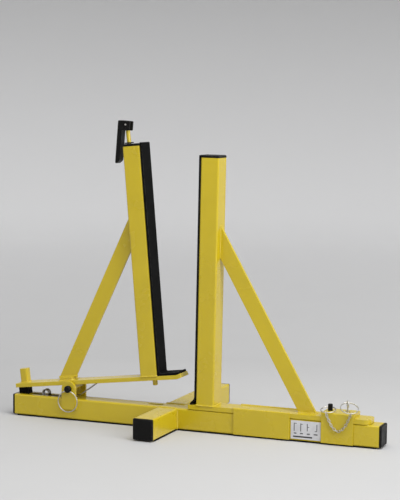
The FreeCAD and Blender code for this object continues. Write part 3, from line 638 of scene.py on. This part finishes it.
@made_once("weld_bead")
def weld_tree(name):
    """A bead of overlapping ripples along the edges of a mesh."""
    tree, entry, leave = new_tree(name, [
        ("Radius", "NodeSocketFloat", 0.002), ("Step", "NodeSocketFloat", 0.0013),
        ("Seed", "NodeSocketInt", 4), ("Material", "NodeSocketMaterial", None)])
    curve = tree.nodes.new("GeometryNodeMeshToCurve")
    points = tree.nodes.new("GeometryNodeCurveToPoints")
    points.mode = "LENGTH"
    ripple = tree.nodes.new("GeometryNodeMeshUVSphere")
    ripple.inputs["Segments"].default_value = 10
    ripple.inputs["Rings"].default_value = 6
    size = tree.nodes.new("FunctionNodeRandomValue")
    size.data_type = "FLOAT"
    size.inputs["Min"].default_value = 0.86
    size.inputs["Max"].default_value = 1.22
    shape = tree.nodes.new("ShaderNodeCombineXYZ")
    shape.inputs["Z"].default_value = 0.8
    place = tree.nodes.new("GeometryNodeInstanceOnPoints")
    link(tree, entry.outputs["Geometry"], curve.inputs["Mesh"])
    link(tree, curve.outputs["Curve"], points.inputs["Curve"])
    link(tree, entry.outputs["Step"], points.inputs["Length"])
    link(tree, entry.outputs["Radius"], ripple.inputs["Radius"])
    link(tree, entry.outputs["Seed"], size.inputs["Seed"])
    for axis in "XY":
        link(tree, size.outputs["Value"], shape.inputs[axis])
    link(tree, points.outputs["Points"], place.inputs["Points"])
    link(tree, points.outputs["Rotation"], place.inputs["Rotation"])
    link(tree, shape.outputs["Vector"], place.inputs["Scale"])
    link(tree, ripple.outputs["Mesh"], place.inputs["Instance"])
    close_tree(tree, place.outputs["Instances"], entry, leave)


@made_once("oval_links")
def chain_tree(name):
    """Oval links, one at each corner of a path; every other one is turned a quarter round it."""
    tree, entry, leave = new_tree(name, [
        ("Length", "NodeSocketFloat", 0.0066), ("Width", "NodeSocketFloat", 0.0031),
        ("Wire", "NodeSocketFloat", 0.0008), ("First turn", "NodeSocketFloat", 0.0),
        ("Material", "NodeSocketMaterial", None)])
    curve = tree.nodes.new("GeometryNodeMeshToCurve")
    points = tree.nodes.new("GeometryNodeCurveToPoints")
    points.mode = "EVALUATED"
    link(tree, entry.outputs["Geometry"], curve.inputs["Mesh"])
    link(tree, curve.outputs["Curve"], points.inputs["Curve"])

    arc = tree.nodes.new("GeometryNodeCurvePrimitiveCircle")
    arc.inputs["Resolution"].default_value = 24
    half_width = shader_math(tree, "MULTIPLY", entry.outputs["Width"], 0.5)
    centre_line = shader_math(tree, "ADD", half_width, entry.outputs["Wire"])
    link(tree, centre_line, arc.inputs["Radius"])
    longer = shader_math(tree, "SUBTRACT", entry.outputs["Length"], entry.outputs["Width"])
    straight = shader_math(tree, "MULTIPLY", longer, 0.5)
    place = tree.nodes.new("GeometryNodeInputPosition")
    parts = tree.nodes.new("ShaderNodeSeparateXYZ")
    link(tree, place.outputs[0], parts.inputs[0])
    half = shader_math(tree, "SIGN", parts.outputs["Y"], 0.0)
    shift = shader_math(tree, "MULTIPLY", half, straight)
    upright = tree.nodes.new("ShaderNodeCombineXYZ")
    link(tree, parts.outputs["X"], upright.inputs["X"])
    link(tree, shader_math(tree, "ADD", parts.outputs["Y"], shift), upright.inputs["Z"])
    stretch = tree.nodes.new("GeometryNodeSetPosition")
    link(tree, arc.outputs["Curve"], stretch.inputs["Geometry"])
    link(tree, upright.outputs["Vector"], stretch.inputs["Position"])
    ring = tree.nodes.new("GeometryNodeCurvePrimitiveCircle")
    ring.inputs["Resolution"].default_value = 10
    link(tree, entry.outputs["Wire"], ring.inputs["Radius"])
    sweep = tree.nodes.new("GeometryNodeCurveToMesh")
    link(tree, stretch.outputs["Geometry"], sweep.inputs["Curve"])
    link(tree, ring.outputs["Curve"], sweep.inputs["Profile Curve"])

    index = tree.nodes.new("GeometryNodeInputIndex")
    odd = shader_math(tree, "MODULO", index.outputs[0], 2.0)
    quarter = shader_math(tree, "MULTIPLY", odd, math.pi / 2)
    angle = shader_math(tree, "ADD", quarter, entry.outputs["First turn"])
    twist = tree.nodes.new("FunctionNodeAxisAngleToRotation")
    twist.inputs["Axis"].default_value = (0, 0, 1)
    link(tree, angle, twist.inputs["Angle"])
    turn = tree.nodes.new("FunctionNodeRotateRotation")
    turn.rotation_space = "LOCAL"
    link(tree, points.outputs["Rotation"], turn.inputs["Rotation"])
    link(tree, twist.outputs["Rotation"], turn.inputs["Rotate By"])
    on_points = tree.nodes.new("GeometryNodeInstanceOnPoints")
    link(tree, points.outputs["Points"], on_points.inputs["Points"])
    link(tree, turn.outputs["Rotation"], on_points.inputs["Rotation"])
    link(tree, sweep.outputs["Mesh"], on_points.inputs["Instance"])
    close_tree(tree, on_points.outputs["Instances"], entry, leave)


def grow(name, paths, tree, finish_name, **values):
    """Run a tree on loose edges and keep the plain mesh that comes out."""
    piece = bpy.data.objects.new(name, path_mesh(name, paths))
    bpy.context.scene.collection.objects.link(piece)
    modifier = piece.modifiers.new("tree", "NODES")
    modifier.node_group = tree
    values["Material"] = finish(finish_name)
    for item in tree.interface.items_tree:
        if item.in_out == "INPUT" and item.name.replace(" ", "_") in values:
            modifier[item.identifier] = values[item.name.replace(" ", "_")]
    plain_mesh(piece)
    if not piece.data.polygons:
        raise RuntimeError(f"{name} came out empty")
    return piece


def circle(centre, radius, axis, count):
    """Points round a circle."""
    axis = axis.normalized()
    side = axis.orthogonal().normalized()
    other = axis.cross(side)
    steps = (2 * math.pi * i / count for i in range(count))
    return [centre + side * (radius * math.cos(a)) + other * (radius * math.sin(a)) for a in steps]


# ---------------------------------------------------------------- pieces

def corner(node, x, y, z):
    """A point of a node's box: 0 is its low side and 1 its high side."""
    low, high = (Vector(side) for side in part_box(node))
    return Vector((low[i] + (high[i] - low[i]) * share for i, share in enumerate((x, y, z))))


class STAND_OT_steelwork(bpy.types.Operator):
    """The enamelled tube, plate, bar and lugs, with a small radius on their sawn edges"""
    bl_idname = "stand.steelwork"
    bl_label = "Steelwork"

    def execute(self, context):
        sizes = settings()[1]
        for node in (
            "main_rail", "cross_arm_front", "cross_arm_rear", "pivot_ear_front", "pivot_ear_rear",
            "rocker_plate", "pivot_boss", "rocker_mast", "brace_tab", "rocker_brace", "pedal_stub",
            "pedal_lid", "jaw_foot_plate", "slide_cheek_front", "slide_cheek_rear", "lock_saddle",
            "jaw_mast", "jaw_brace",
        ):
            refined(node, "enamel", sizes.tube_edge, 2)
        return {"FINISHED"}


class STAND_OT_welds(bpy.types.Operator):
    """Weld beads where the tubes, bars and lugs meet"""
    bl_idname = "stand.welds"
    bl_label = "Weld beads"

    def execute(self, context):
        sizes = settings()[1]
        up = ROCKER_UP
        plate_top = self.plane_of("rocker_mast", up, lowest=True)
        tab_top = self.plane_of("rocker_brace", up, lowest=True)
        mast_tilt = Matrix.Rotation(MAST_LEAN, 3, "Y")
        mast_left = -(mast_tilt @ Vector((up.z, 0, -up.x)))
        mast_face = self.plane_of("rocker_mast", mast_left, lowest=False)
        rocker_loops = [
            outline_of("rocker_mast", plate_top, up), outline_of("brace_tab", plate_top, up),
            outline_of("pedal_stub", plate_top, up), outline_of("rocker_brace", tab_top, up),
            outline_of("rocker_brace", mast_face, mast_left),
        ]
        foot_top = corner("jaw_foot_plate", 0.5, 0.5, 1)
        level = Vector((0, 0, 1))
        jaw_right = Matrix.Rotation(JAW_LEAN, 3, "Y") @ Vector((1, 0, 0))
        jaw_face = self.plane_of("jaw_mast", jaw_right, lowest=False)
        jaw_loops = [
            outline_of("jaw_mast", foot_top, level), outline_of("jaw_brace", foot_top, level),
            outline_of("jaw_brace", jaw_face, jaw_right),
        ]
        front = Vector((0, -1, 0))
        base_loops = [
            outline_of("cross_arm_front", corner("cross_arm_front", 0.5, 1, 0.5), front),
            outline_of("cross_arm_rear", corner("cross_arm_rear", 0.5, 0, 0.5), front),
        ]
        rail_top = corner("main_rail", 0, 0, 1).z
        ears = []
        for ear, side in (("pivot_ear_front", 1), ("pivot_ear_rear", 0)):
            left, right = corner(ear, 0, side, 0), corner(ear, 1, side, 0)
            rise = Vector((0, 0, rail_top - left.z))
            ears.append([left + rise, left, right, right + rise])
        cheeks = []
        for node, side in (("slide_cheek_front", 1), ("slide_cheek_rear", 0)):
            cheeks.append([corner(node, 0, side, 1), corner(node, 1, side, 1)])
        self.bead("rocker_welds", "rocker", rocker_loops, [], sizes)
        self.bead("jaw_welds", "sliding_jaw", jaw_loops, cheeks, sizes)
        self.bead("base_welds", "base", base_loops, ears, sizes)
        return {"FINISHED"}

    def plane_of(self, node, normal, lowest):
        """The corner of a node that lies lowest or highest along a direction."""
        pick = min if lowest else max
        return pick(corners_of(node), key=lambda co: co.dot(normal))

    def bead(self, name, body, loops, runs, sizes):
        """One weld piece of a body: loops are closed paths and runs are open ones."""
        paths = [(loop, True) for loop in loops] + [(run, False) for run in runs]
        piece = grow(name, paths, weld_tree(), "enamel", Radius=sizes.bead,
                     Step=sizes.bead_step, Seed=4)
        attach(piece, body)


class STAND_OT_caps(bpy.types.Operator):
    """Moulded end caps of the tubes and the guide on top of the leaning upright"""
    bl_idname = "stand.caps"
    bl_label = "End caps"

    def execute(self, context):
        sizes = settings()[1]
        for node, outward in (
            ("rail_cap_left", (-1, 0, 0)), ("rail_cap_right", (1, 0, 0)),
            ("arm_cap_front", (0, -1, 0)), ("arm_cap_rear", (0, 1, 0)),
            ("rocker_cap", None), ("jaw_cap", None),
        ):
            change = self.sunk_panel(Vector(outward)) if outward else None
            refined(node, "black_moulding", sizes.cap_edge, 3, change)
        refined("rod_guide_top", "black_moulding", GUIDE_EDGE, 2)
        return {"FINISHED"}

    def sunk_panel(self, outward):
        """Sink the outer face inside a narrow rim, as a moulded cap has."""
        def outermost(face):
            return face.calc_center_median().dot(outward) * 100 + face.calc_area()

        def change(bm):
            face = max(bm.faces, key=outermost)
            bmesh.ops.inset_region(bm, faces=[face], thickness=CAP_RIM, depth=0.0)
            bmesh.ops.inset_region(bm, faces=[face], thickness=CAP_STEP, depth=-CAP_SINK)
        return change


class STAND_OT_rubber(bpy.types.Operator):
    """Rubber facings of both uprights, the bumper under the pedal and the floor grip strips, which are partly
    painted shadow along the frame's foot
    """
    bl_idname = "stand.rubber"
    bl_label = "Rubber"

    def execute(self, context):
        sizes = settings()[1]
        for node in ("rocker_pad", "jaw_pad"):
            refined(node, "sheet_rubber", sizes.pad_edge, 3)
        refined("bumper", "sheet_rubber", BUMPER_EDGE, 3)
        # The black grip strips are partly real rubber and partly painted shadow: they stand in for the dark shadow
        # line under the rail and arms.
        for node in ("rail_grip_strip", "arm_grip_strip_front", "arm_grip_strip_rear"):
            refined(node, "sheet_rubber", TURNED_EDGE, 2)
        refined("bumper_screw", "zinc", TURNED_EDGE, 2)
        return {"FINISHED"}


class STAND_OT_lever(bpy.types.Operator):
    """The lock rod with its tip and cross pin, and the black lever that lifts it"""
    bl_idname = "stand.lever"
    bl_label = "Lock rod and lever"

    def execute(self, context):
        refined("lock_rod", "enamel", TURNED_EDGE, 2)
        refined("rod_tip", "enamel", TURNED_EDGE, 2)
        refined("lever_pin", "zinc", THIN_EDGE, 2)
        refined("lock_lever", "black_moulding", LEVER_EDGE, 3)
        refined("pivot_bushes", "bronze", THIN_EDGE, 2)
        return {"FINISHED"}


class STAND_OT_pins(bpy.types.Operator):
    """The two pins with their grips, and the wire rings that pull them"""
    bl_idname = "stand.pins"
    bl_label = "Pins and rings"

    def execute(self, context):
        refined("pivot_pin", "zinc", PIN_EDGE, 2)
        refined("pivot_pin_head", "black_moulding", HEAD_EDGE, 3)
        refined("lock_pin", "zinc", PIN_EDGE, 2)
        refined("lock_pin_grip", "black_moulding", GRIP_EDGE, 3)
        self.pull_ring("pivot_pin_ring", Vector((0, 1, 0)))
        tilt = Matrix.Rotation(LOCK_RING_TILT, 3, "X")
        self.pull_ring("lock_pin_ring", tilt @ Vector((0, 0, 1)))
        return {"FINISHED"}

    def pull_ring(self, node, axis):
        """Round wire bent to a ring, butted at its lowest point."""
        corners = corners_of(node)
        centre = middle_of(corners)
        flat = [(co - centre) - axis * (co - centre).dot(axis) for co in corners]
        outer = max(v.length for v in flat)
        wire = max(abs((co - centre).dot(axis)) for co in corners)
        loop = circle(centre, outer - wire, axis, 96)
        start = min(range(len(loop)), key=lambda i: loop[i].z)
        path = loop[start:] + loop[:start]
        butt_gap = 0.12
        path.append(path[0] + (path[-1] - path[0]) * butt_gap)
        piece = grow(node + "_look", [(path, False)], wire_tree(), "zinc", Radius=wire, Sides=18)
        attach(piece, BODY_OF[node])
        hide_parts(node)


class STAND_OT_spring(bpy.types.Operator):
    """The return spring that presses the rocker's plate up"""
    bl_idname = "stand.spring"
    bl_label = "Return spring"

    def execute(self, context):
        bm = merged_copy("return_spring")
        bm.faces.layers.float.new("edge")
        mesh = mesh_from(bm, "return_spring_look")
        piece = add_piece("return_spring_look", mesh, "spring_steel")
        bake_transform(piece)
        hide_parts("return_spring")
        return {"FINISHED"}


class STAND_OT_chain(bpy.types.Operator):
    """The screw eye, its split ring and the chain that keeps the lock pin with the jaw"""
    bl_idname = "stand.chain"
    bl_label = "Chain"

    def execute(self, context):
        sizes = settings()[1]
        refined("screw_eye", "zinc", THIN_EDGE, 2)
        self.split_ring()
        links = self.link_middles()
        piece = grow("pin_chain_look", [(links, False)], chain_tree(), "zinc",
                     Length=sizes.link_length, Width=sizes.link_width, Wire=sizes.link_wire,
                     First_turn=0.0)
        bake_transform(piece)
        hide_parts("pin_chain")
        return {"FINISHED"}

    def link_middles(self):
        """The middle of each link of the frame's chain, in order from the pin."""
        bm = merged_copy("pin_chain")
        seen = set()
        middles = []
        for first in bm.verts:
            if first in seen:
                continue
            seen.add(first)
            group = [first]
            for vertex in group:
                for edge in vertex.link_edges:
                    other = edge.other_vert(vertex)
                    if other not in seen:
                        seen.add(other)
                        group.append(other)
            middles.append(middle_of([v.co for v in group]))
        bm.free()
        return sorted(middles, key=lambda co: co.x)

    def split_ring(self):
        """Two turns of spring wire side by side."""
        corners = corners_of("split_ring")
        centre = middle_of(corners)
        far = max(corners, key=lambda co: (co - centre).length)
        chord = corner("screw_eye", 0.5, 0.5, 1) - corner("pin_chain", 1, 0.5, 1)
        level = Vector((-chord.y, chord.x, 0)).normalized()
        axis = chord.cross(level).normalized()
        wire = max(abs((co - centre).dot(axis)) for co in corners) / 2
        radius = (far - centre).length - 2 * wire
        count = 60
        loop = circle(centre, radius + wire * 0.2, axis, count)
        turns = [
            loop[i % count] + axis * wire * (2 * i / (2 * count) - 1) for i in range(2 * count + 1)
        ]
        piece = grow("split_ring_look", [(turns, False)], wire_tree(), "zinc", Radius=wire,
                     Sides=14)
        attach(piece, "sliding_jaw")
        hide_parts("split_ring")


# Strokes of the label: left, low, right and high side, as shares of its width and height.
LABEL_STROKES = (
    (0.10, 0.42, 0.125, 0.86), (0.125, 0.83, 0.20, 0.86), (0.32, 0.42, 0.345, 0.86),
    (0.345, 0.80, 0.40, 0.83), (0.54, 0.46, 0.565, 0.86), (0.565, 0.66, 0.62, 0.69),
    (0.86, 0.50, 0.885, 0.86), (0.80, 0.47, 0.87, 0.50), (0.10, 0.28, 0.19, 0.34),
    (0.31, 0.28, 0.41, 0.34), (0.54, 0.28, 0.64, 0.34), (0.77, 0.28, 0.90, 0.34),
    (0.08, 0.09, 0.72, 0.17),
)


class STAND_OT_label(bpy.types.Operator):
    """A plain label with simple pictograms on the front of the rail"""
    bl_idname = "stand.label"
    bl_label = "Label"

    def execute(self, context):
        refined("label_plate", "label_film", LABEL_EDGE, 1)
        bm = bmesh.new()
        low = corner("label_plate", 0, 0, 0)
        size = corner("label_plate", 1, 0, 1) - low
        depth = 0.00006
        for x0, z0, x1, z1 in LABEL_STROKES:
            box = bmesh.ops.create_cube(bm, size=1.0)["verts"]
            middle = low + Vector((size.x * (x0 + x1) / 2, -depth / 2, size.z * (z0 + z1) / 2))
            scale = Vector((size.x * (x1 - x0), depth, size.z * (z1 - z0)))
            for vertex in box:
                vertex.co = middle + Vector(a * b for a, b in zip(vertex.co, scale))
        bmesh.ops.recalc_face_normals(bm, faces=bm.faces)
        bm.faces.layers.float.new("edge")
        piece = add_piece("label_marks", mesh_from(bm, "label_marks"), "label_ink")
        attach(piece, "base")
        return {"FINISHED"}


# ---------------------------------------------------------------- stage

# Each lamp's name, place, the point it faces, width, height and power in watts.
LAMPS = (
    ("top_softbox", (0.9, -0.6, 3.0), (0.0, 0.1, 0.2), 2.4, 2.4, 84),
    ("right_softbox", (3.2, -1.2, 1.6), (0.0, 0.0, 0.3), 1.7, 1.9, 66),
    ("left_fill", (-2.6, -2.6, 1.5), (0.0, 0.0, 0.3), 1.6, 1.6, 7),
)


class STAND_OT_stage(bpy.types.Operator):
    """Seamless pale paper, soft lamps and the camera"""
    bl_idname = "stand.stage"
    bl_label = "Stage"

    def execute(self, context):
        stage = settings()[2]
        context.scene.view_settings.view_transform = "Standard"
        self.paper(stage)
        self.sky(stage)
        for lamp in LAMPS:
            self.lamp(*lamp)
        self.camera(stage)
        return {"FINISHED"}

    def paper(self, stage):
        """A round floor that curves up into a wall all round."""
        flat, curve, wall, sides, steps = 5.0, 2.0, 4.5, 96, 16
        profile = [(flat, 0.0)]
        profile += [
            (flat + curve * math.sin(a), curve * (1 - math.cos(a)))
            for a in (math.pi / 2 * i / steps for i in range(1, steps + 1))
        ]
        profile.append((flat + curve, wall))
        bm = bmesh.new()
        centre = bm.verts.new((0, 0, 0))
        rings = []
        for radius, height in profile:
            rings.append([
                bm.verts.new((radius * math.cos(2 * math.pi * i / sides),
                              radius * math.sin(2 * math.pi * i / sides), height))
                for i in range(sides)
            ])
        for i in range(sides):
            j = (i + 1) % sides
            bm.faces.new((centre, rings[0][i], rings[0][j]))
            for low, high in zip(rings, rings[1:]):
                bm.faces.new((low[i], high[i], high[j], low[j]))
        mesh = smooth_mesh(bm, "paper_sweep")
        sweep = bpy.data.objects.new("paper_sweep", mesh)
        bpy.context.scene.collection.objects.link(sweep)
        material, tree, shader = new_material("paper")
        tone = place_group(tree, tone_group(), Color=(*stage.floor_colour, 1.0), Scale=2.0,
                           Amount=0.02)
        place = tree.nodes.new("ShaderNodeTexCoord")
        parts = tree.nodes.new("ShaderNodeSeparateXYZ")
        link(tree, place.outputs["Object"], parts.inputs[0])
        reach = tree.nodes.new("ShaderNodeVectorMath")
        reach.operation = "LENGTH"
        link(tree, place.outputs["Object"], reach.inputs[0])
        # Painted light and painted shade: the paper turns lighter away from the stand and darker up the wall, in
        # place of the lamps' falloff on one plain sheet.
        away = remap(tree, reach.outputs["Value"], 1.0, 5.0)
        far = mix_colour(tree, away, tone.outputs["Color"], tuple(stage.wall_painted_light))
        rise = remap(tree, parts.outputs["Z"], 0.1, stage.wall_fade)
        shaded = mix_colour(tree, rise, far, tuple(stage.top_painted_shade))
        link(tree, shaded, shader.inputs["Base Color"])
        shader.inputs["Roughness"].default_value = 0.75
        shader.inputs["Specular IOR Level"].default_value = 0.25
        mesh.materials.append(material)

    def sky(self, stage):
        world = bpy.data.worlds.new("studio")
        world.use_nodes = True
        background = world.node_tree.nodes["Background"]
        background.inputs["Color"].default_value = (*stage.sky_colour, 1.0)
        background.inputs["Strength"].default_value = 1.2
        bpy.context.scene.world = world

    def lamp(self, name, place, target, wide, tall, power):
        light = bpy.data.lights.new(name, "AREA")
        light.shape = "RECTANGLE"
        light.size = wide
        light.size_y = tall
        light.energy = power
        lamp = bpy.data.objects.new(name, light)
        lamp.location = place
        aim = Vector(target) - Vector(place)
        lamp.rotation_euler = aim.to_track_quat("-Z", "Y").to_euler()
        bpy.context.scene.collection.objects.link(lamp)

    def camera(self, stage):
        data = bpy.data.cameras.new("studio_camera")
        data.lens = stage.lens
        data.sensor_width = 36.0
        data.clip_end = 60.0
        camera = bpy.data.objects.new("studio_camera", data)
        bpy.context.scene.collection.objects.link(camera)
        yaw, dip, roll = stage.camera_yaw, stage.camera_dip, stage.camera_roll
        ahead = Vector((
            -math.sin(yaw) * math.cos(dip), math.cos(yaw) * math.cos(dip), -math.sin(dip)))
        right = Vector((math.cos(yaw), math.sin(yaw), 0))
        up = right.cross(ahead)
        across = right * math.cos(roll) + up * math.sin(roll)
        above = up * math.cos(roll) - right * math.sin(roll)
        turn = Matrix((across, above, -ahead)).transposed().to_4x4()
        camera.matrix_world = Matrix.Translation(Vector(stage.camera_place)) @ turn
        bpy.context.scene.camera = camera


class STAND_PT_panel(bpy.types.Panel):
    """Lists the pieces of the stand in the sidebar"""
    bl_label = "Clamping stand"
    bl_idname = "STAND_PT_panel"
    bl_space_type = "VIEW_3D"
    bl_region_type = "UI"
    bl_category = "Stand"

    def draw(self, context):
        for operator in OPERATORS:
            self.layout.operator(operator.bl_idname)
        for group in settings():
            for name in group.__annotations__:
                self.layout.prop(group, name)


OPERATORS = (
    STAND_OT_stage, STAND_OT_steelwork, STAND_OT_welds, STAND_OT_caps, STAND_OT_rubber,
    STAND_OT_lever, STAND_OT_pins, STAND_OT_spring, STAND_OT_chain, STAND_OT_label,
)
CLASSES = (StandPaint, StandSizes, StageSettings, *OPERATORS, STAND_PT_panel)


def register():
    for item in CLASSES:
        bpy.utils.register_class(item)
    bpy.types.Scene.stand_paint = PointerProperty(type=StandPaint)
    bpy.types.Scene.stand_sizes = PointerProperty(type=StandSizes)
    bpy.types.Scene.stand_stage = PointerProperty(type=StageSettings)


def unregister():
    for name in ("stand_paint", "stand_sizes", "stand_stage"):
        delattr(bpy.types.Scene, name)
    for item in reversed(CLASSES):
        bpy.utils.unregister_class(item)


def main():
    register()
    for operator in OPERATORS:
        group, call = operator.bl_idname.split(".")
        getattr(getattr(bpy.ops, group), call)()


if __name__ == "__main__":
    main()
